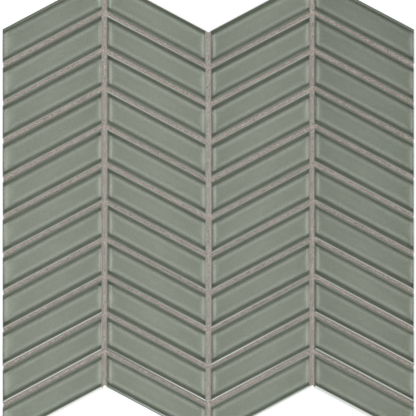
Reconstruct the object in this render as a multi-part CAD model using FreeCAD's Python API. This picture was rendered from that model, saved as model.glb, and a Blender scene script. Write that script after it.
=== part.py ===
import FreeCAD, Part
import math
import os
from FreeCAD import Vector

# A sheet of chevron mosaic: glass tiles in zigzag columns, grouted, on a glass-fibre mesh.
# Sizes are in millimetres and degrees. The sheet lies on its back. X runs across the
# columns, Y runs up them and Z points out of the glass. The origin is on the ground,
# under the middle of the sheet.

# One glass tile
tile_run = 73.4
tile_band = 22.0
tile_thickness = 8.0
slant_angle = 28.0
edge_radius = 1.2

# The pattern, with the joints between its tiles
column_count = 4
row_count = 11
column_joint = 2.8
row_joint = 2.3

# Hand laying. For each column from the left: how far its middle rows sag, and how far its
# end rows are spread away from the middle. Then how far each tile drifts and turns by itself
column_sags = [1.0, 0.6, 1.2, 0.3]
column_spreads = [0.9, 0.0, 0.0, 0.6]
lay_drift = 0.12
lay_turn = 0.15

# Grout, below the glass face and short of the outer edge of the sheet, with the hollow
# that a rounded tool leaves along each joint
grout_recess = 1.4
grout_end_recess = 0.4
grout_hollow = 0.4

# Mesh on the back, in two crossing layers of flat yarns
yarn_pitch = 6.0
yarn_width = 1.0
yarn_thickness = 0.25
mesh_margin = 2.0
shortest_yarn = 5.0

# Worked out from the sizes above
slope = math.tan(math.radians(slant_angle))
upright = 1.0 / math.cos(math.radians(slant_angle))
tile_height = tile_band * upright
row_step = (tile_band + row_joint) * upright
column_step = tile_run + column_joint
stack_height = (row_count - 1) * row_step + tile_height
sheet_width = (column_count - 1) * column_step + tile_run
mesh_thickness = 2 * yarn_thickness


def climb(column):
    """1 where the tiles of a column climb to the right, -1 where they fall."""
    return 1 if column % 2 == 0 else -1


def column_middle(column):
    return (column - (column_count - 1) / 2) * column_step


def row_middle(row):
    return (row - (row_count - 1) / 2) * row_step


def zigzag(x):
    """Height of the zigzag at x, above its own middle. It turns in each upright joint."""
    across = x + column_count * column_step / 2
    column = min(max(int(across // column_step), 0), column_count - 1)
    return climb(column) * slope * (x - column_middle(column))


def laid_height(column, row):
    """Height of a tile's middle as laid: the middle rows sag and the end rows are spread."""
    way = row / (row_count - 1)
    sag = column_sags[column % len(column_sags)] * (1 - math.cos(2 * math.pi * way)) / 2
    spread = column_spreads[column % len(column_spreads)] * (2 * way - 1)
    drift = lay_drift * math.sin(1.9 * row + 2.7 * column)
    return row_middle(row) - sag + spread + drift


def lay(shape, column, row):
    """Put a tile shape in its place, a little turned, as a hand lays it."""
    turn = lay_turn * math.sin(2.3 * row + 1.1 * column)
    placed = shape.copy()
    placed.rotate(Vector(0, 0, 0), Vector(0, 0, 1), turn)
    placed.translate(Vector(column_middle(column), laid_height(column, row), mesh_thickness))
    return placed


def tile_blank(direction):
    """The tile before its face is rounded: a slanted block with upright ends."""
    side = tile_run / 2
    rise = direction * slope * side
    half = tile_height / 2
    corners = [
        Vector(-side, -half - rise, 0),
        Vector(side, -half + rise, 0),
        Vector(side, half + rise, 0),
        Vector(-side, half - rise, 0),
    ]
    outline = Part.makePolygon(corners + corners[:1])
    return Part.Face(outline).extrude(Vector(0, 0, tile_thickness))


def round_face(blank):
    """Round the four edges of the face, as fire polishing does."""
    top = blank.BoundBox.ZMax
    face_edges = [edge for edge in blank.Edges if edge.BoundBox.ZMin > top - edge_radius / 2]
    return blank.makeFillet(edge_radius, face_edges)


def grout_slab():
    """The space that the grout is spread in: the zigzag sheet, drawn in at its outer edge."""
    side = sheet_width / 2 - grout_end_recess
    inner_joints = [column_middle(column) + column_step / 2 for column in range(column_count - 1)]
    stations = [-side] + inner_joints + [side]
    reach = stack_height / 2 - grout_end_recess
    upper = [Vector(x, zigzag(x) + reach, mesh_thickness) for x in stations]
    lower = [Vector(x, zigzag(x) - reach, mesh_thickness) for x in reversed(stations)]
    outline = Part.makePolygon(upper + lower + upper[:1])
    depth = tile_thickness - grout_recess
    return Part.Face(outline).extrude(Vector(0, 0, depth))


def tool_stroke(start, end, joint):
    """The rounded tool's path along one joint: a rod that dips into it from wall to wall."""
    radius = (joint ** 2 / 4 + grout_hollow ** 2) / (2 * grout_hollow)
    rise = Vector(0, 0, mesh_thickness + tile_thickness - grout_recess + radius - grout_hollow)
    return Part.makeCylinder(radius, start.distanceToPoint(end), start + rise, end - start)


def tool_strokes():
    """Strokes along the slanted joints of every column, then along the upright joints."""
    strokes = []
    for column in range(column_count):
        middle = column_middle(column)
        half = Vector(column_step / 2, climb(column) * slope * column_step / 2, 0)
        for row in range(row_count - 1):
            height = (laid_height(column, row) + laid_height(column, row + 1)) / 2
            centre = Vector(middle, height, 0)
            strokes.append(tool_stroke(centre - half, centre + half, row_joint))
    reach = Vector(0, (stack_height + slope * column_step) / 2, 0)
    for column in range(column_count - 1):
        centre = Vector(column_middle(column) + column_step / 2, 0, 0)
        strokes.append(tool_stroke(centre - reach, centre + reach, column_joint))
    return strokes


def grout_web(blanks):
    """One cast web that fills every joint: what the tiles and the tool leave of the slab."""
    web = grout_slab().cut(Part.makeCompound(blanks))
    return web.cut(tool_strokes())


def yarn_places(reach):
    """Middle lines of the yarns of one layer, with one yarn on the middle of the sheet."""
    count = int((reach - yarn_width / 2) // yarn_pitch)
    return [number * yarn_pitch for number in range(-count, count + 1)]


def flat_yarn(x_low, x_high, y_low, y_high, z_low):
    return Part.makeBox(x_high - x_low, y_high - y_low, yarn_thickness, Vector(x_low, y_low, z_low))


def warp_yarns():
    """Yarns that run up the sheet, against the glass."""
    yarns = []
    reach = stack_height / 2 - mesh_margin
    for x in yarn_places(sheet_width / 2 - mesh_margin):
        heights = [zigzag(x + shift) for shift in (-yarn_width / 2, 0, yarn_width / 2)]
        x_low = x - yarn_width / 2
        x_high = x + yarn_width / 2
        yarns.append(flat_yarn(x_low, x_high, max(heights) - reach, min(heights) + reach, yarn_thickness))
    return Part.makeCompound(yarns)


def weft_spans(y):
    """Stretches of a yarn at height y that lie under the sheet: notches in the zigzag break it."""
    spans = []
    reach = stack_height / 2 - mesh_margin - yarn_width / 2
    half_rise = slope * column_step / 2
    lowest = max(y - reach, -half_rise)
    highest = min(y + reach, half_rise)
    for column in range(column_count):
        ends = sorted(column_middle(column) + climb(column) * height / slope for height in (lowest, highest))
        if spans and ends[0] - spans[-1][1] < yarn_width:
            spans[-1][1] = ends[1]
        else:
            spans.append(ends)
    return spans


def weft_yarns():
    """Yarns that run across the sheet, under the others."""
    yarns = []
    side = sheet_width / 2 - mesh_margin
    tallest = (stack_height + slope * column_step) / 2
    for y in yarn_places(tallest - mesh_margin):
        for start, end in weft_spans(y):
            x_low = max(start, -side)
            x_high = min(end, side)
            if x_high - x_low > shortest_yarn:
                yarns.append(flat_yarn(x_low, x_high, y - yarn_width / 2, y + yarn_width / 2, 0))
    return Part.makeCompound(yarns)


def write_piece(name, shape):
    shape.exportStep("parts/" + name + ".step")
    print(name, len(shape.Solids), "solid(s),", round(shape.Volume), "cubic mm")


os.makedirs("parts", exist_ok=True)
blanks = []
for column in range(column_count):
    blank = tile_blank(climb(column))
    tile = round_face(blank)
    for row in range(row_count):
        blanks.append(lay(blank, column, row))
        write_piece("glass_tile_c%d_r%02d" % (column + 1, row + 1), lay(tile, column, row))
write_piece("grout", grout_web(blanks))
write_piece("mesh_warp", warp_yarns())
write_piece("mesh_weft", weft_yarns())
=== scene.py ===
# %% [markdown]
# # A sheet of glass chevron mosaic
# The real object is 44 slanted glass tiles in four zigzag columns, held by a mesh on the back
# and grouted. Each tile is clear glass with a grey-green coat fired onto its back. This lesson
# dresses a fixed model of the sheet: the model says where every piece is and how large, and the
# lesson gives the pieces their polished edges, their colours and their light.

# %% Load the fixed model
import math
import random

import bpy
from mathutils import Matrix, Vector


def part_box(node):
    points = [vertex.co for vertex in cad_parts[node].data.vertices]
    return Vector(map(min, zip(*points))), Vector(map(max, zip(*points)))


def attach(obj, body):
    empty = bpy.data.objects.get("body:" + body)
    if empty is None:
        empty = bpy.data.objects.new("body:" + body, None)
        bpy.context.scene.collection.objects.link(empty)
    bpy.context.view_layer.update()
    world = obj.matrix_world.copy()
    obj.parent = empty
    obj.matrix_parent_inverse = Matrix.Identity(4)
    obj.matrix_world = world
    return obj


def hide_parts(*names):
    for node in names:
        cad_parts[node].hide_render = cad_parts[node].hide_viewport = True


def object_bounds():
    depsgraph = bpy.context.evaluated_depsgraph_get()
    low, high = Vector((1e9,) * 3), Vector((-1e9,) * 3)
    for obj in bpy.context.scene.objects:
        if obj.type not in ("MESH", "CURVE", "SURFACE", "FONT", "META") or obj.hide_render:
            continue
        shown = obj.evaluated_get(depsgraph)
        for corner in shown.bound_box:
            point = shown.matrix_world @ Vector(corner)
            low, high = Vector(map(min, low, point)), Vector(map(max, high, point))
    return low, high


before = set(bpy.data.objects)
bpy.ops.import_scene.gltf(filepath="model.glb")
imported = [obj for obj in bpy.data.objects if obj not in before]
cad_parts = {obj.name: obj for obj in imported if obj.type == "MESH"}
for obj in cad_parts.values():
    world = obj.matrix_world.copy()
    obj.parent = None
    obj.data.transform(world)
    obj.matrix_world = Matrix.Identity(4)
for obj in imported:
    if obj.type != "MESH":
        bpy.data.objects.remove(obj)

MM = 0.001
scene = bpy.context.scene
scene.view_settings.view_transform = "Standard"
model_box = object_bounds()
print("pieces in the model:", len(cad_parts))
print("sheet in mm:", [round(side / MM, 1) for side in model_box[1] - model_box[0]])

# %% [markdown]
# ## Small helpers for materials
# A material in Blender is a small graph of nodes that ends in a shader. Most finishes here start
# from one Principled shader and hang a few pattern nodes on its colour and its bump. Writing the
# repeated clicks as helpers keeps every finish below short enough to read in one look.

# %% Helpers that add a node and join it up
def new_finish(name, roughness, specular=0.5):
    """A material with one Principled shader, and that shader."""
    finish = bpy.data.materials.new(name)
    finish.use_nodes = True
    shader = finish.node_tree.nodes["Principled BSDF"]
    shader.inputs["Roughness"].default_value = roughness
    shader.inputs["Specular IOR Level"].default_value = specular
    return finish, shader


def fill(finish, socket, value):
    """Put a number, a colour or another node's output into a socket."""
    if isinstance(value, bpy.types.NodeSocket):
        finish.node_tree.links.new(value, socket)
    elif isinstance(value, tuple) and len(value) == 3 and len(socket.default_value) == 4:
        socket.default_value = (*value, 1.0)
    else:
        socket.default_value = value


def attribute(finish, name):
    """What a named attribute of the mesh holds at each point, as a number or a vector."""
    node = finish.node_tree.nodes.new("ShaderNodeAttribute")
    node.attribute_name = name
    return node.outputs


def blend_colour(finish, first, second, share, kind="MIX"):
    """Blend two colours. Sockets 6, 7 and 2 are those for colours: others share their names."""
    node = finish.node_tree.nodes.new("ShaderNodeMix")
    node.data_type = "RGBA"
    node.blend_type = kind
    fill(finish, node.inputs["Factor"], share)
    fill(finish, node.inputs[6], first)
    fill(finish, node.inputs[7], second)
    return node.outputs[2]


def multiply(finish, colour, *films):
    """A colour seen through tinted films, one after the other."""
    for film in films:
        colour = blend_colour(finish, colour, film, 1.0, "MULTIPLY")
    return colour


def place_in_sheet(finish):
    """Where each point is on the sheet, in metres."""
    return finish.node_tree.nodes.new("ShaderNodeTexCoord").outputs["Object"]


def along_axes(finish, vector):
    """X, Y and Z of a vector, one by one."""
    parts = finish.node_tree.nodes.new("ShaderNodeSeparateXYZ")
    fill(finish, parts.inputs[0], vector)
    return parts.outputs


def noise(finish, grain, detail=3.0, stretch=(1.0, 1.0, 1.0)):
    """Cloudy noise. grain is the size of one cloud in metres."""
    nodes = finish.node_tree.nodes
    scale = nodes.new("ShaderNodeMapping")
    cloud = nodes.new("ShaderNodeTexNoise")
    scale.inputs["Scale"].default_value = stretch
    cloud.inputs["Scale"].default_value = 1.0 / grain
    cloud.inputs["Detail"].default_value = detail
    fill(finish, scale.inputs["Vector"], place_in_sheet(finish))
    fill(finish, cloud.inputs["Vector"], scale.outputs[0])
    return cloud.outputs["Fac"]


def bump(finish, shader, height, depth):
    """Raise and sink the surface by up to depth, in metres, without moving the mesh."""
    node = finish.node_tree.nodes.new("ShaderNodeBump")
    node.inputs["Distance"].default_value = depth
    fill(finish, node.inputs["Height"], height)
    fill(finish, shader.inputs["Normal"], node.outputs[0])


def ramp(finish, value, stops):
    """A colour that follows value through stops of (place, colour). Colours may be above 1."""
    nodes = finish.node_tree.nodes
    start = stops[0][0]
    end = stops[-1][0]
    fit = nodes.new("ShaderNodeMapRange")
    fit.inputs["From Min"].default_value = start
    fit.inputs["From Max"].default_value = end
    fill(finish, fit.inputs["Value"], value)
    bar = nodes.new("ShaderNodeValToRGB")
    fill(finish, bar.inputs[0], fit.outputs[0])
    marks = bar.color_ramp.elements
    while len(marks) < len(stops):
        marks.new(0.5)
    for mark, (place, colour) in zip(marks, stops):
        mark.position = (place - start) / (end - start)
        mark.color = (*colour, 1.0)
    return bar.outputs[0]


def grey(tone):
    return (tone, tone, tone)


finishes = {}
print("helpers for finishes are ready")

# %% [markdown]
# ## Clear glass
# The body of each tile is water-white glass with the faintest green. Real refraction is what
# makes such a tile look deep, so the glass is a closed body with the colour under it, and not a
# shiny colour. The face gets a very shallow waviness, because fire-polished glass is never flat.

# %% Clear glass, a little wavy
WATER_WHITE = (0.955, 0.985, 0.96)
REFRACTION = 1.5
WAVE_LENGTH = 9 * MM
WAVE_DEPTH = 0.02 * MM


def clear_glass():
    finish, shader = new_finish("clear_glass", roughness=0.02)
    fill(finish, shader.inputs["Base Color"], WATER_WHITE)
    shader.inputs["IOR"].default_value = REFRACTION
    shader.inputs["Transmission Weight"].default_value = 1.0
    bump(finish, shader, noise(finish, grain=WAVE_LENGTH, detail=1.0), depth=WAVE_DEPTH)
    return finish


finishes["glass"] = clear_glass()
print("finish made:", finishes["glass"].name)

# %% [markdown]
# ## The coat fired onto the back
# Seen through the glass, the coat isn't one flat colour. Its light and shade are painted into its
# colour here: along each long edge a dark band of painted shade, where the edge shades the coat,
# with a painted pale line inside it, where the rounded edge throws its light. At the upright ends
# only the painted pale line shows. Each tile carries a ruler, an attribute that says how far every
# point is from the left end, the lower edge and the upper edge, in millimetres, and the painted
# shades below are laid out along it.
#
# The shades are written as the green level that a spot shows in the finished picture, because that
# is what the eye compares. FIELD is that level for the plain coat, away from all edges.

# %% From a level in the picture to a colour of the coat
FIELD = 141
GLOSS = 0.035
RED_UNDER_GREEN = 7
BLUE_UNDER_GREEN = 15


def shade(green):
    """How light the coat is next to its plain field, for the green level that it shows, 0 to 255.

    Red and blue are laid some levels under green. A level turns into light by the curve that
    screens use, and the white gloss of the face is taken off it.
    """
    def under_gloss(level):
        return ((level / 255 + 0.055) / 1.055) ** 2.4 - GLOSS
    return tuple(under_gloss(green - less) / under_gloss(FIELD - less)
                 for less in (RED_UNDER_GREEN, 0, BLUE_UNDER_GREEN))


def shades(stops):
    return [(place, shade(green)) for place, green in stops]


print("a band of level 112 is", round(shade(112)[1], 2), "times as light as the field")

# %% [markdown]
# Some edges have a deep band of painted shade and others a shallow one. So there are two kinds of
# band, and each tile says how much of each it has and how far in the band reaches. The left end
# looks another way at the rim of the sheet, where light comes in from the side: there its painted
# pale line is wider.

# %% Painted shade and light of the coat, from an edge inwards, in (millimetres, level)
DEEP_BAND_LIGHTING = [(0.0, 128), (1.0, 124), (1.6, 117), (2.2, 112), (2.7, 112.5), (3.1, 117), (3.5, 127),
             (4.0, 144), (4.5, 158), (5.1, 168), (5.7, 166), (6.5, 155), (7.5, 145.5),
             (9.0, 140.5), (11.0, 140)]
SHALLOW_BAND_LIGHTING = [(0.0, 132), (0.8, 133), (1.5, 132), (2.1, 128), (2.6, 122), (3.1, 121), (3.5, 126),
                (4.0, 138), (4.6, 153), (5.2, 162), (5.7, 162.5), (6.4, 155), (7.3, 147),
                (8.5, 142), (11.0, 140)]
# Painted light lines along the upright ends, with painted shade next to the grout at the left end.
LEFT_END_LIGHTING = [(0.0, 122), (0.8, 122), (1.1, 134), (1.5, 158), (1.9, 174), (2.3, 182), (3.0, 183),
            (3.4, 176), (3.8, 163.5), (4.2, 154), (4.7, 148.5), (5.5, 144), (8.0, 140.5),
            (15.0, 141)]
LEFT_RIM_LIGHTING = [(0.0, 122), (0.8, 126), (1.1, 140), (1.5, 168), (1.9, 183), (3.4, 183), (3.8, 179),
            (4.4, 169), (5.0, 163), (6.0, 157), (7.0, 152), (8.0, 148), (10.0, 143), (15.0, 141)]
RIGHT_END_LIGHTING = [(0.0, 142), (0.8, 146), (1.2, 162), (1.6, 177), (2.0, 183), (2.4, 184), (2.8, 182),
             (3.2, 173), (3.6, 162), (4.2, 152), (5.2, 145), (8.0, 140), (15.0, 140)]
MIDDLE = 145
# Where the band of painted shade is past, so that the painted light of the ends can show there.
BAND_INSIDE = [(3.3, grey(0.0)), (4.3, grey(1.0))]
print("darkest level of a band: deep", min(green for place, green in DEEP_BAND_LIGHTING),
      "and shallow", min(green for place, green in SHALLOW_BAND_LIGHTING))

# %% [markdown]
# The painted pale lines of the ends are laid over the painted shade bands only where the band is
# past, so they stop short of the long edges as they do in real glass. A slow cloudiness and fine
# specks then keep the fired coat from looking printed.

# %% Fire the coat, with its painted shade and light
COAT = (0.505, 0.543, 0.449)
CLOUD_SIZE = 14 * MM
CLOUDS = (grey(0.975), grey(1.025))
SPECK_SIZE = 0.8 * MM
SPECKS = [(0.35, grey(0.90)), (0.65, grey(1.10))]
FIRST_TILE = "glass_tile_c1_r01"


def painted_end_lines(finish, from_left, tile_across):
    """Painted light lines and shade between the two ends of a tile."""
    from_right = [(tile_across - place, green) for place, green in reversed(RIGHT_END_LIGHTING)]
    rest = [(tile_across / 2, MIDDLE)] + from_right
    in_grout = ramp(finish, from_left, shades(LEFT_END_LIGHTING + rest))
    at_rim = ramp(finish, from_left, shades(LEFT_RIM_LIGHTING + rest))
    return blend_colour(finish, in_grout, at_rim, attribute(finish, "at_left_rim")["Fac"])


def painted_edge_shade(finish, away, deep_share):
    """Painted shade and light from a long edge inwards, between those of a shallow band and those
    of a deep one.
    """
    shallow = ramp(finish, away, shades(SHALLOW_BAND_LIGHTING))
    deep = ramp(finish, away, shades(DEEP_BAND_LIGHTING))
    return blend_colour(finish, shallow, deep, attribute(finish, deep_share)["Fac"])


def fired_coat_and_painted_light(tile_across):
    finish, shader = new_finish("fired_coat_and_painted_light", roughness=0.55, specular=0.0)
    from_left, from_lower, from_upper = along_axes(finish, attribute(finish, "ruler")["Vector"])
    ends = painted_end_lines(finish, from_left, tile_across)
    # Painted shade along both long edges, each band with its painted light line inside.
    bands = multiply(finish, painted_edge_shade(finish, from_lower, "lower_shade_depth"),
                     painted_edge_shade(finish, from_upper, "upper_shade_depth"))
    inside = multiply(finish, ramp(finish, from_lower, BAND_INSIDE),
                      ramp(finish, from_upper, BAND_INSIDE))
    # The ends' painted light lines show only where the bands of painted shade are past.
    with_ends = blend_colour(finish, bands, ends, 1.0, "LIGHTEN")
    tone = blend_colour(finish, bands, with_ends, inside)
    tile_tone = blend_colour(finish, grey(0.0), grey(1.0), attribute(finish, "tile_tone")["Fac"])
    clouds = blend_colour(finish, *CLOUDS, noise(finish, grain=CLOUD_SIZE, detail=4.0))
    specks = ramp(finish, noise(finish, grain=SPECK_SIZE), SPECKS)
    fill(finish, shader.inputs["Base Color"], multiply(finish, COAT, tone, tile_tone, clouds, specks))
    return finish


tile_low, tile_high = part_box(FIRST_TILE)
finishes["coat"] = fired_coat_and_painted_light((tile_high - tile_low).x / MM)
print("coat laid out for a tile of", round((tile_high - tile_low).x / MM, 1), "mm across")

# %% [markdown]
# ## Edges of the glass
# A cut tile has three kinds of edge. Where it stands in grout, the glass is wetted by the grout:
# from above, its long edges look dark and its upright ends pale, and both are painted: shade on the
# long edges, light on the ends. At the rim of the sheet the edge is bare and looks frosted green,
# again with painted light on its ends. Along the face runs the arris, the corner that is ground off
# so that it doesn't cut: its colour runs from painted shade to a white painted highlight. Clear
# glass would show such shade and highlights by itself only if every scratch were modelled. So each
# kind has a finish that light doesn't pass, and attributes of the mesh say where its painted light
# and highlight go.

# %% Bedded and bare edges
# Painted shade on the long edges in grout, and painted light on the upright ends.
BEDDED_SHADED = ((0.145, 0.18, 0.115), (0.20, 0.24, 0.165))
BEDDED_LIT = ((0.74, 0.785, 0.67), (0.85, 0.90, 0.78))
FROSTED = [(0.5 * MM, (0.12, 0.17, 0.12)), (2.0 * MM, (0.19, 0.26, 0.19)),
           (8.5 * MM, (0.38, 0.47, 0.38))]
# Painted light on the bare upright ends at the rim.
FROSTED_LIT_END = (0.72, 0.77, 0.66)
GRIT = (0.55, 0.62, 0.54)
GRIT_SIZE = 0.5 * MM
GRIT_DEPTH = 0.05 * MM


def bedded_edge():
    finish, shader = new_finish("bedded_edge", roughness=0.8, specular=0.0)
    spots = noise(finish, grain=1.5 * MM)
    shaded = blend_colour(finish, *BEDDED_SHADED, spots)
    lit_end = blend_colour(finish, *BEDDED_LIT, spots)
    at_end = attribute(finish, "at_end")["Fac"]
    fill(finish, shader.inputs["Base Color"], blend_colour(finish, shaded, lit_end, at_end))
    return finish


def bare_edge():
    """Frosted green glass, darker towards its foot, with painted light on its upright ends."""
    finish, shader = new_finish("bare_edge", roughness=0.45)
    green = ramp(finish, along_axes(finish, place_in_sheet(finish))["Z"], FROSTED)
    grit = noise(finish, grain=GRIT_SIZE)
    frosted = blend_colour(finish, green, GRIT, grit, "SOFT_LIGHT")
    at_end = attribute(finish, "at_end")["Fac"]
    fill(finish, shader.inputs["Base Color"], blend_colour(finish, frosted, FROSTED_LIT_END, at_end))
    bump(finish, shader, grit, depth=GRIT_DEPTH)
    return finish


finishes["bedded"] = bedded_edge()
finishes["bare"] = bare_edge()
print("finishes made:", finishes["bedded"].name, "and", finishes["bare"].name)

# %% The ground arris, from painted shade to a white painted highlight
# Painted shade where the arris shows dark, a painted highlight where it shows white.
ARRIS_SHADE = ((0.058, 0.080, 0.046), (0.082, 0.108, 0.066))
ARRIS_HIGHLIGHT = ((0.78, 0.82, 0.76), (1.0, 1.0, 0.97))


def ground_arris():
    finish, shader = new_finish("ground_arris", roughness=0.35, specular=0.3)
    patchy = noise(finish, grain=4 * MM)
    shaded = blend_colour(finish, *ARRIS_SHADE, patchy)
    white = blend_colour(finish, *ARRIS_HIGHLIGHT, patchy)
    how_highlit = attribute(finish, "arris_highlight")["Fac"]
    fill(finish, shader.inputs["Base Color"], blend_colour(finish, shaded, white, how_highlit))
    return finish


finishes["arris"] = ground_arris()
print("finish made:", finishes["arris"].name)

# %% [markdown]
# ## Grout and mesh
# The joints are filled with sanded cement grout: a warm grey with a pink cast, matt, with grains
# of sand that stand a tenth of a millimetre proud. It is a little darker on the right. The mesh
# on the back is white glass-fibre yarn dipped in a coating, so it has fine fibres along it and a
# slight sheen. Grains and fibres could be modelled, but they would need millions of faces. Noise in
# the colour and in the bump looks the same from here, and it needs no unwrapping.

# %% Sanded grout
GROUT = ((0.334, 0.296, 0.263), (0.393, 0.349, 0.310))
SAND = [(0.42, grey(0.35)), (0.5, grey(1.0)), (0.58, grey(1.75))]
SAND_SIZE = 0.36 * MM
SAND_DEPTH = 0.12 * MM
RIGHTWARD_DARKENING = [(40 * MM, grey(1.0)), (110 * MM, grey(0.93))]


def sanded_grout():
    finish, shader = new_finish("sanded_grout", roughness=0.92, specular=0.2)
    body = blend_colour(finish, *GROUT, noise(finish, grain=6 * MM, detail=4.0))
    sand = noise(finish, grain=SAND_SIZE, detail=1.0)
    right_darkening = ramp(finish, along_axes(finish, place_in_sheet(finish))["X"], RIGHTWARD_DARKENING)
    fill(finish, shader.inputs["Base Color"],
         multiply(finish, body, ramp(finish, sand, SAND), right_darkening))
    bump(finish, shader, sand, depth=SAND_DEPTH)
    return finish


finishes["grout"] = sanded_grout()
print("finish made:", finishes["grout"].name)

# %% Glass-fibre yarn
YARN = ((0.62, 0.62, 0.58), (0.86, 0.86, 0.82))
FIBRE_SIZE = 0.25 * MM
FIBRE_DEPTH = 0.08 * MM
FIBRE_STRETCH = {"X": (0.15, 1.0, 1.0), "Y": (1.0, 0.15, 1.0)}


def coated_yarn(name, along):
    """Yarn whose fibres run along X or along Y."""
    finish, shader = new_finish(name, roughness=0.6, specular=0.4)
    fibres = noise(finish, grain=FIBRE_SIZE, stretch=FIBRE_STRETCH[along])
    fill(finish, shader.inputs["Base Color"], blend_colour(finish, *YARN, fibres))
    bump(finish, shader, fibres, depth=FIBRE_DEPTH)
    return finish


finishes["warp"] = coated_yarn("warp_yarn", "Y")
finishes["weft"] = coated_yarn("weft_yarn", "X")
print("all finishes:", ", ".join(finish.name for finish in finishes.values()))

# %% [markdown]
# ## The shape of one tile
# A tile is a slanted slab with upright ends. It could be a box with bevelled edges, but a bevel
# gives every edge the same radius and leaves the corners hard. Here the outline is drawn again at
# several heights, each time a little further in, and the rings are skinned. The shape then follows
# the tile's own four corners on the model, whatever their slant.

# %% Find the four corners of a tile on its back
FLAT_WITHIN = 0.01 * MM


def back_corners(node):
    """Lower left, lower right, upper right and upper left corner, seen from above."""
    low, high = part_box(node)
    middle = (low.x + high.x) / 2
    back = [vertex.co.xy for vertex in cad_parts[node].data.vertices
            if vertex.co.z < low.z + FLAT_WITHIN]
    left = sorted((point for point in back if point.x < middle), key=lambda point: point.y)
    right = sorted((point for point in back if point.x > middle), key=lambda point: point.y)
    return [left[0], right[0], right[-1], left[-1]]


print("corners of one tile in mm:",
      [[round(value / MM, 2) for value in corner] for corner in back_corners(FIRST_TILE)])

# %% [markdown]
# The four sides are always counted the same way: 0 is the lower edge, 1 the right end, 2 the upper
# edge and 3 the left end.

# %% Draw the outline with round corners
CORNER_RADIUS = 0.25 * MM
CORNER_STEPS = 4
POINTS_PER_CORNER = CORNER_STEPS + 1


def outline(corners, insets, radius):
    """Points round the tile, drawn in from its four sides."""
    points = []
    for side in range(4):
        corner = corners[side]
        back = (corners[side - 1] - corner).normalized()
        ahead = (corners[(side + 1) % 4] - corner).normalized()
        opening = back.angle(ahead)
        spread = 1.0 / math.sin(opening)
        tip = corner + (back * insets[side] + ahead * insets[side - 1]) * spread
        centre = tip + (back + ahead).normalized() * radius / math.sin(opening / 2)
        start = tip + back * radius / math.tan(opening / 2) - centre
        turn = math.pi - opening
        for step in range(POINTS_PER_CORNER):
            angle = turn * step / CORNER_STEPS
            points.append(centre + Vector((start.x * math.cos(angle) - start.y * math.sin(angle),
                                           start.x * math.sin(angle) + start.y * math.cos(angle))))
    return points


print("points round a tile:", len(outline(back_corners(FIRST_TILE), [0.0] * 4, CORNER_RADIUS)))

# %% [markdown]
# The rounding of a fire-polished edge is a quarter of an ellipse. Equal turns of its angle put the
# rings close together where the edge is steep, and that is where a highlight needs them.

# %% The rings of one tile, from its back to its face
ROUNDINGS = [1.3 * MM, 1.1 * MM, 1.3 * MM, 1.1 * MM]
ROUNDING_HEIGHT = 1.2 * MM
GROUT_BELOW_FACE = 1.4 * MM
CLEAR_OF_GROUT = 0.03 * MM
CLEAR_OF_MESH = 0.04 * MM
FOOT_RINGS = 2
RING_COUNT = 14
ARRIS_RINGS = [14, 12, 14, 12]


def inward_share(ring):
    """How far in a ring of the rounding lies, from 0 at the wall to 1 at the flat face."""
    return 1 - math.cos(math.pi / 2 * ring / RING_COUNT)


def tile_rings(corners, back_height, face_height, roundings):
    """(points, height) of each ring. The last one lies on the flat face."""
    foot = outline(corners, [CLEAR_OF_GROUT] * 4, CORNER_RADIUS)
    rings = [(foot, back_height + CLEAR_OF_MESH), (foot, face_height - GROUT_BELOW_FACE)]
    for ring in range(RING_COUNT + 1):
        inward = inward_share(ring)
        height = face_height - ROUNDING_HEIGHT * inward_share(RING_COUNT - ring)
        insets = [CLEAR_OF_GROUT + rounding * inward for rounding in roundings]
        rings.append((outline(corners, insets, CORNER_RADIUS * (1 - inward / 2)), height))
    return rings


print("rings in a tile:", FOOT_RINGS + RING_COUNT + 1)

# %% [markdown]
# Neighbouring rings are joined by four-sided faces, and the first and last ring are closed by a
# face each. Every face knows its ring and its side, so it can be given its finish at once, which is
# surer than picking faces by their place afterwards.

# %% Skin the rings and give each face its finish
TILE_FINISHES = ["glass", "coat", "bedded", "bare", "arris"]
SMOOTH_UNDER = math.radians(35)


def skin(name, rings, bare_sides):
    """A closed tile. bare_sides are the sides at the rim of the sheet, with no grout."""
    count = len(rings[0][0])
    vertices = [(point.x, point.y, height) for points, height in rings for point in points]
    faces = [tuple(reversed(range(count))), tuple(range(len(vertices) - count, len(vertices)))]
    kinds = ["coat", "glass"]
    for ring in range(len(rings) - 1):
        for place in range(count):
            ahead = (place + 1) % count
            faces.append((ring * count + place, ring * count + ahead,
                          (ring + 1) * count + ahead, (ring + 1) * count + place))
            side = place // POINTS_PER_CORNER
            if ring == 0:
                kinds.append("bare" if side in bare_sides else "bedded")
            else:
                kinds.append("arris" if ring <= ARRIS_RINGS[side] else "glass")
    mesh = bpy.data.meshes.new(name)
    mesh.from_pydata(vertices, [], faces)
    for key in TILE_FINISHES:
        mesh.materials.append(finishes[key])
    mesh.polygons.foreach_set("material_index", [TILE_FINISHES.index(kind) for kind in kinds])
    mesh.polygons.foreach_set("use_smooth", [True] * len(faces))
    mesh.set_sharp_from_angle(angle=SMOOTH_UNDER)
    return mesh


print("finishes on a tile:", ", ".join(TILE_FINISHES))

# %% [markdown]
# ## What differs from tile to tile
# No two tiles look alike: some edges are ground wider, the painted shade and highlights along the
# edges change over the sheet, and the tiles' tone differs a little. A material for each tile would
# be much to look after, so all tiles share theirs, and numbers on their points make the difference.
# Five numbers tell how one long edge looks: how deep its band of painted shade is, how far in the
# band reaches, and how bright the painted highlight of the arris is next to the grout, along its
# middle line and at the face. They change slowly down the sheet, so each column needs them only for
# its top and its bottom row.

# %% Painted shade and highlights of the long edges, by column from the left
COLUMNS = 4
ROWS = 11
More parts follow.
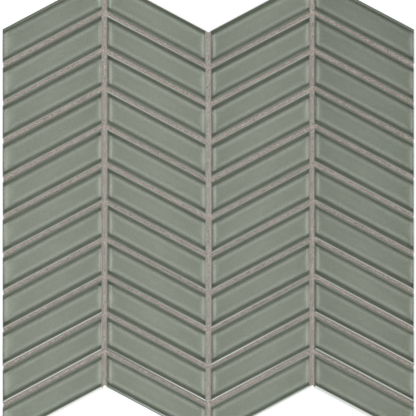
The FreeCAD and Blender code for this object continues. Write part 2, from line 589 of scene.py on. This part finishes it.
# Each look: depth of painted shade, its reach, and the arris's painted highlight at grout, line and
# face.
LOWER_EDGES = [
    {"top": (0.10, 0.00, 0.34, 0.39, 0.03), "bottom": (0.65, 0.00, 0.42, 1.00, 0.05)},
    {"top": (0.00, 0.00, 0.17, 0.15, 0.12), "bottom": (0.65, -0.15, 0.27, 0.78, 0.16)},
    {"top": (0.05, -0.05, 0.13, 0.13, 0.14), "bottom": (0.45, -0.40, 0.40, 0.86, 0.14)},
    {"top": (0.50, 0.34, 0.19, 0.22, 0.03), "bottom": (1.00, 0.08, 0.44, 1.20, 0.04)},
]
UPPER_EDGES = [
    {"top": (0.50, -0.60, 0.17, 0.17, 0.12), "bottom": (0.00, -0.28, 0.18, 0.16, 0.12)},
    {"top": (1.00, -0.70, 0.44, 0.66, 0.05), "bottom": (0.10, -0.30, 0.24, 0.19, 0.04)},
    {"top": (1.00, -0.15, 0.38, 0.54, 0.04), "bottom": (0.10, -0.12, 0.25, 0.20, 0.04)},
    {"top": (0.15, -1.05, 0.10, 0.12, 0.15), "bottom": (0.00, -0.85, 0.12, 0.12, 0.14)},
]


def edge_looks(ends, top_share):
    """Looks between those of the top row and those of the bottom row."""
    return [top * top_share + bottom * (1 - top_share)
            for top, bottom in zip(ends["top"], ends["bottom"])]


print("lower edge of column 1, half-way up:", edge_looks(LOWER_EDGES[0], 0.5))

# %% [markdown]
# A few edges fall out of that order. The lower edges of the second row, and three of the third,
# were ground wider, so their painted highlight line stands off from the grout. The rim of the sheet
# has looks of its own, and grout stayed on the upper edges of the two middle tiles at the bottom.
#
# An arris is given as its painted highlight next to the grout, on the line and at the face, and the
# place of the line, from 0 at the grout to 1 at the face.

# %% Long edges that are ground wider, and those at the rim
LINE_PLACE = 0.30
# Painted highlights of the arris and widths of the rounding, for edges ground wider.
WIDE_GROUND = {
    (1, 2): ((0.28, 0.82, 0.15, 0.55), 1.70 * MM),
    (2, 2): ((0.16, 0.74, 0.20, 0.64), 1.90 * MM),
    (3, 2): ((0.26, 0.68, 0.15, 0.60), 1.75 * MM),
    (4, 2): ((0.16, 0.62, 0.20, 0.64), 2.25 * MM),
    (1, 3): ((0.32, 0.86, 0.08, 0.50), 1.50 * MM),
    (3, 3): ((0.30, 0.54, 0.13, 0.34), 1.45 * MM),
    (4, 3): ((0.22, 0.76, 0.10, 0.55), 1.70 * MM),
}
# Painted highlights of the arrises at the bottom and top rim, by column.
BOTTOM_RIM_ARRIS = [(0.85, 0.78, 0.14, 0.50), (0.03, 0.66, 0.12, 0.66),
                    (0.66, 0.56, 0.24, 0.50), (0.66, 0.72, 0.10, 0.62)]
BOTTOM_ROUNDINGS = [2.00 * MM, 1.75 * MM, 1.75 * MM, 2.20 * MM]
BOTTOM_RIM_REACH = -0.15
TOP_RIM_ARRIS = [(0.00, 0.20, 0.05, 0.66), (0.75, 0.40, 0.00, 0.35),
                 (0.35, 0.25, 0.00, 0.35), (0.00, 0.20, 0.05, 0.66)]
TOP_ROUNDINGS = [1.90 * MM, 1.30 * MM, 1.30 * MM, 1.90 * MM]
TOP_RIM_REACH = -0.40
GROUTED_ARRIS = (0.31, 0.28, 0.12, 0.30)
print("edges ground wider (column, row):", sorted(WIDE_GROUND))

# %% [markdown]
# The upright ends have their own arris, with a brighter painted highlight at the right rim. Their
# painted pale lines lie a little further in or out from column to column, and again a little
# further in the middle rows. The left ends of the two middle columns were ground wider there, with
# a brighter painted highlight. The last column is a shade darker, and so are the top rows.

# %% Upright ends and tone, by column from the left
RIGHT_ARRIS = (0.31, 0.30, 0.27, 0.40)
RIGHT_RIM_ARRIS = (0.34, 0.46, 0.80, 0.50)
RIGHT_REACH = [0.20, 0.28, -0.20, -0.85]
RIGHT_END_SHIFT = [0.2, 0.4, 0.0, 0.0]
LEFT_ARRIS = [(0.00, 0.06, 0.16, 0.50), (0.26, 0.13, 0.00, 0.36),
              (0.25, 0.13, 0.00, 0.40), (0.18, 0.05, 0.00, 0.32)]
LEFT_REACH = [-0.95, -0.05, 0.18, 0.25]
LEFT_END_SHIFT = [0.0, 0.4, 0.4, 0.0]
MIDDLE_COLUMNS = (2, 3)
WIDER_LEFT_END = 0.5 * MM
BRIGHTER_LEFT_END_HIGHLIGHT = 0.18
COLUMN_TONE = [1.0, 1.0, 0.968, 0.90]
LAST_COLUMN_FADE = 0.07
TOP_ROW_FADE = 0.055
TOP_ROW_CURVE = 4


def height_share(row):
    """0 in the bottom row and 1 in the top row."""
    return (row - 1) / (ROWS - 1)


def middle_share(row):
    """0 in the two end rows and 1 in the middle row."""
    return math.sin(math.pi * height_share(row))


print("share of the middle rows' shift:",
      [round(middle_share(row), 2) for row in range(1, ROWS + 1)])

# %% How wide and how white the edges of one tile are
def tile_roundings(column, row):
    """Widths of the four rounded edges: lower edge, right end, upper edge, left end."""
    roundings = list(ROUNDINGS)
    if (column, row) in WIDE_GROUND:
        roundings[0] = WIDE_GROUND[column, row][1]
    if row == 1:
        roundings[0] = BOTTOM_ROUNDINGS[column - 1]
    if row == ROWS:
        roundings[2] = TOP_ROUNDINGS[column - 1]
    if column in MIDDLE_COLUMNS:
        roundings[3] += WIDER_LEFT_END * middle_share(row)
    return roundings


def tile_arrises(column, row, lower, upper):
    """Painted shade and highlight of the four arrises, in the same order."""
    arrises = [(*lower[2:], LINE_PLACE), RIGHT_ARRIS, (*upper[2:], LINE_PLACE),
               LEFT_ARRIS[column - 1]]
    if (column, row) in WIDE_GROUND:
        arrises[0] = WIDE_GROUND[column, row][0]
    if row == 1:
        arrises[0] = BOTTOM_RIM_ARRIS[column - 1]
    if row == 1 and column in MIDDLE_COLUMNS:
        arrises[2] = GROUTED_ARRIS
    if row == ROWS:
        arrises[2] = TOP_RIM_ARRIS[column - 1]
    if column == COLUMNS:
        arrises[1] = RIGHT_RIM_ARRIS
    if column in MIDDLE_COLUMNS:
        outer, line, inner, place = arrises[3]
        extra_highlight = BRIGHTER_LEFT_END_HIGHLIGHT * middle_share(row)
        arrises[3] = (outer + extra_highlight, line + extra_highlight / 2, inner, place)
    return arrises


def tile_reach(column, row, lower, upper):
    """How much further in the painted shade bands and the painted end lines reach, in millimetres.
    """
    reach = [lower[1], RIGHT_REACH[column - 1], upper[1], LEFT_REACH[column - 1]]
    reach[1] -= RIGHT_END_SHIFT[column - 1] * middle_share(row)
    reach[3] += LEFT_END_SHIFT[column - 1] * middle_share(row)
    if row == 1:
        reach[0] += BOTTOM_RIM_REACH
    if row == ROWS:
        reach[2] += TOP_RIM_REACH
    return reach


print("widths at the first tile in mm:", [round(wide / MM, 2) for wide in tile_roundings(1, 1)])

# %% [markdown]
# The rest is chance, from a fixed seed, so that the sheet comes out the same each time.

# %% Place and chance decide each tile's looks
SEED = 44
UNEVEN_WHITE = 0.12
UNEVEN_FIRING = 0.015
UNEVEN_REACH = 0.09
ROW_CURVE = 1.5
# How far the arris's painted highlight leans towards one end, by column.
HIGHLIGHT_LEAN = [0.10, 0.65, 0.65, 0.12]
STRONG_HIGHLIGHT_LEAN = {(3, 3): 1.9}
chance = random.Random(SEED)


def about(value, spread):
    return value + chance.uniform(-spread, spread)


def tile_habits(column, row):
    """What sets one tile apart from the others."""
    high = height_share(row)
    lower = edge_looks(LOWER_EDGES[column - 1], 1 - (1 - high) ** ROW_CURVE)
    upper = edge_looks(UPPER_EDGES[column - 1], high ** ROW_CURVE)
    arrises = tile_arrises(column, row, lower, upper)
    uneven = [about(1, UNEVEN_WHITE) for arris in arrises]
    tile_tone = COLUMN_TONE[column - 1] * (1 - TOP_ROW_FADE * high ** TOP_ROW_CURVE)
    tile_tone *= about(1, UNEVEN_FIRING)
    if column == COLUMNS:
        tile_tone -= LAST_COLUMN_FADE * high
    lean = HIGHLIGHT_LEAN[column - 1]
    return {"lower_shade_depth": lower[0], "upper_shade_depth": upper[0], "tile_tone": tile_tone,
            "at_left_rim": 1.0 if column == 1 else 0.0,
            "lower_highlight_lean": STRONG_HIGHLIGHT_LEAN.get((column, row), lean), "upper_highlight_lean": lean,
            "reach": [about(mean, UNEVEN_REACH) for mean in tile_reach(column, row, lower, upper)],
            "arris": [([white * share for white in looks[:3]], looks[3])
                      for looks, share in zip(arrises, uneven)]}


print("chance is drawn from seed", SEED)

# %% [markdown]
# The painted highlight line of an arris isn't even from end to end. Below, it is brighter towards
# the end of the tile that lies lower, and above, towards the end that lies higher, where the edge
# turns to the light. The outer columns hardly show it, and one edge in the third row shows it
# strongly.

# %% How bright an arris's painted highlight is at one point
OUTER_FADE = 0.20
INNER_FADE = 0.25


def highlight_at_point(looks, inward, towards):
    """Painted highlight at a point that lies inward of the grout. towards is above 0 where it is
    brighter.
    """
    (outer, line, inner), place = looks
    line = max(line * (1 + towards), min(outer, line))
    if inward < place:
        way = min(max((place - inward) / OUTER_FADE, 0.0), 1.0)
        return line * (1 - way) + outer * way
    way = min((inward - place) / INNER_FADE, 1.0)
    return line * (1 - way) + inner * way


example = (BOTTOM_RIM_ARRIS[0][:3], BOTTOM_RIM_ARRIS[0][3])
print("white of one arris from grout to face:",
      [round(highlight_at_point(example, step / 4, 0.0), 2) for step in range(5)])

# %% [markdown]
# The looks go onto the points of the mesh as attributes, where the materials read them. A painted
# image would need a flat map of every tile.

# %% Write the ruler and the looks onto the points of a tile
# How much of the upright ends' painted light the left ends get.
LEFT_END_PAINTED_LIGHT = 0.75


def mark(mesh, corners, habits):
    along = (corners[1] - corners[0]).normalized()
    up = Vector((-along.y, along.x))
    band = (corners[3] - corners[0]).dot(up)
    across = (corners[1] - corners[0]).x / MM
    climb = 1 if corners[1].y > corners[0].y else -1
    lower, right, upper, left = habits["reach"]
    ruler = []
    highlight_shares = []
    at_end = []
    for number, vertex in enumerate(mesh.vertices):
        offset = vertex.co.xy - corners[0]
        ruler += [(offset.x / MM - left) * across / (across - left - right),
                  offset.dot(up) / MM - lower, (band - offset.dot(up)) / MM - upper]
        ring, place = divmod(number, 4 * POINTS_PER_CORNER)
        side, step = divmod(place, POINTS_PER_CORNER)
        share = step / CORNER_STEPS
        inward = inward_share(max(ring - FOOT_RINGS, 0))
        rise = climb * (2 * offset.x / MM / across - 1)
        towards = [-rise * habits["lower_highlight_lean"], 0.0, rise * habits["upper_highlight_lean"], 0.0]
        before, after = [highlight_at_point(habits["arris"][near], inward, towards[near])
                         for near in (side - 1, side)]
        highlight_shares.append(before * (1 - share) + after * share)
        on_end = share if side in (1, 3) else 1 - share
        at_end.append(on_end * (1.0 if side in (1, 2) else LEFT_END_PAINTED_LIGHT))
    mesh.attributes.new("ruler", "FLOAT_VECTOR", "POINT").data.foreach_set("vector", ruler)
    numbers = {"arris_highlight": highlight_shares, "at_end": at_end}
    for name in ("tile_tone", "at_left_rim", "lower_shade_depth", "upper_shade_depth"):
        numbers[name] = [habits[name]] * len(mesh.vertices)
    for name, values in numbers.items():
        mesh.attributes.new(name, "FLOAT", "POINT").data.foreach_set("value", values)


print("paleness of the left ends:", LEFT_END_PAINTED_LIGHT)

# %% [markdown]
# ## Lay all the tiles
# Every tile takes the place of its solid in the model, so it can't drift from the grout round it.
# It rides on the same body, and it is named after its column from the left and its row from below.

# %% Make the 44 glass tiles
def sides_at_the_rim(column, row):
    rim = {0: row == 1, 1: column == COLUMNS, 2: row == ROWS, 3: column == 1}
    return [side for side, at_rim in rim.items() if at_rim]


for column in range(1, COLUMNS + 1):
    for row in range(1, ROWS + 1):
        place = "c%d_r%02d" % (column, row)
        node = "glass_tile_" + place
        low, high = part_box(node)
        corners = back_corners(node)
        rings = tile_rings(corners, low.z, high.z, tile_roundings(column, row))
        mesh = skin("polished_tile_" + place, rings, sides_at_the_rim(column, row))
        mark(mesh, corners, tile_habits(column, row))
        tile = bpy.data.objects.new(mesh.name, mesh)
        scene.collection.objects.link(tile)
        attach(tile, "root")
        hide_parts(node)
print("tiles laid:", COLUMNS * ROWS, "with", len(mesh.polygons), "faces each")

# %% [markdown]
# ## Grout and mesh keep their solids
# The web of grout and the two layers of yarn already have their real shape in the model, with the
# hollow that a rounded tool leaves along each joint. They only need their finish.

# %% Give the grout and the yarns their finish
for node, key in (("grout", "grout"), ("mesh_warp", "warp"), ("mesh_weft", "weft")):
    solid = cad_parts[node]
    solid.data.materials.clear()
    solid.data.materials.append(finishes[key])
    print(node, "is now", finishes[key].name)

# %% [markdown]
# ## Camera
# The sheet is pictured from straight above, a little off its middle. The lens is worked out from
# the width that the picture takes in, at the height of the glass face.

# %% Put the camera over the middle of the sheet
PICTURE_WIDTH = 304.80 * MM
CAMERA_HEIGHT = 1.2
SENSOR = 36.0
CAMERA_SHIFT = (-0.35 * MM, 0.55 * MM)
FARTHEST_SEEN = 30.0

lens = SENSOR * CAMERA_HEIGHT / PICTURE_WIDTH
camera = bpy.data.objects.new("camera", bpy.data.cameras.new("camera"))
camera.data.sensor_width = SENSOR
camera.data.lens = lens
camera.data.clip_end = FARTHEST_SEEN
camera.location = (CAMERA_SHIFT[0], CAMERA_SHIFT[1], model_box[1].z + CAMERA_HEIGHT)
scene.collection.objects.link(camera)
scene.camera = camera
print("lens in mm:", round(lens, 1))

# %% [markdown]
# ## Floor
# The sheet lies on white paper. Paper that is lit like the object renders light grey, and more
# light would bleach the tiles. So the paper adds a little of its own white, but only for rays that
# come from the camera or out of glossy or clear surfaces: the object's light stays as it is, and
# its soft shadow stays too.

# %% White paper that keeps the shadow
PAPER = grey(0.80)
OWN_WHITE = 0.72
LIT_WHITE = grey(0.38)
FLOOR_SIZE = 8.0


def white_paper():
    finish, shader = new_finish("white_paper", roughness=0.9, specular=0.0)
    tree = finish.node_tree
    fill(finish, shader.inputs["Base Color"], PAPER)
    bump(finish, shader, noise(finish, grain=0.8 * MM), depth=0.02 * MM)
    seen = tree.nodes.new("ShaderNodeLightPath")
    white = tree.nodes.new("ShaderNodeEmission")
    lit = tree.nodes.new("ShaderNodeBsdfDiffuse")
    both = tree.nodes.new("ShaderNodeAddShader")
    choose = tree.nodes.new("ShaderNodeMixShader")
    any_ray = seen.outputs["Is Camera Ray"]
    for name in ("Is Glossy Ray", "Is Transmission Ray"):
        either = tree.nodes.new("ShaderNodeMath")
        either.operation = "MAXIMUM"
        fill(finish, either.inputs[0], any_ray)
        fill(finish, either.inputs[1], seen.outputs[name])
        any_ray = either.outputs[0]
    white.inputs["Strength"].default_value = OWN_WHITE
    fill(finish, lit.inputs["Color"], LIT_WHITE)
    fill(finish, both.inputs[0], white.outputs[0])
    fill(finish, both.inputs[1], lit.outputs[0])
    fill(finish, choose.inputs[0], any_ray)
    fill(finish, choose.inputs[1], shader.outputs[0])
    fill(finish, choose.inputs[2], both.outputs[0])
    fill(finish, tree.nodes["Material Output"].inputs[0], choose.outputs[0])
    return finish


bpy.ops.mesh.primitive_plane_add(size=FLOOR_SIZE, location=(0, 0, 0))
paper = bpy.context.object
paper.name = "paper"
paper.data.materials.append(white_paper())
print("paper of", FLOOR_SIZE, "m a side")

# %% [markdown]
# ## Light
# Glass tiles are pictured in soft light from all round, with two large boxes above and below the
# picture that draw thin lines along the rounded edges. The room does most of the work, so the
# colours render about as they are written.

# %% A bright room and two large soft boxes
ROOM = 0.80
BOX_SIZE = 0.8
BOX_POWER = 5.0
BOX_PLACES = {"upper_box": (0.0, 1.0, 1.2), "lower_box": (0.0, -1.0, 1.2)}

world = bpy.data.worlds.new("room")
world.use_nodes = True
walls = world.node_tree.nodes["Background"]
walls.inputs["Color"].default_value = (1.0, 1.0, 1.0, 1.0)
walls.inputs["Strength"].default_value = ROOM
scene.world = world
for name, place in BOX_PLACES.items():
    lamp = bpy.data.lights.new(name, "AREA")
    lamp.energy = BOX_POWER
    lamp.size = BOX_SIZE
    box = bpy.data.objects.new(name, lamp)
    box.location = place
    box.rotation_euler = (-Vector(place)).to_track_quat("-Z", "Y").to_euler()
    scene.collection.objects.link(box)
print("lights:", len(BOX_PLACES), "boxes and the room")
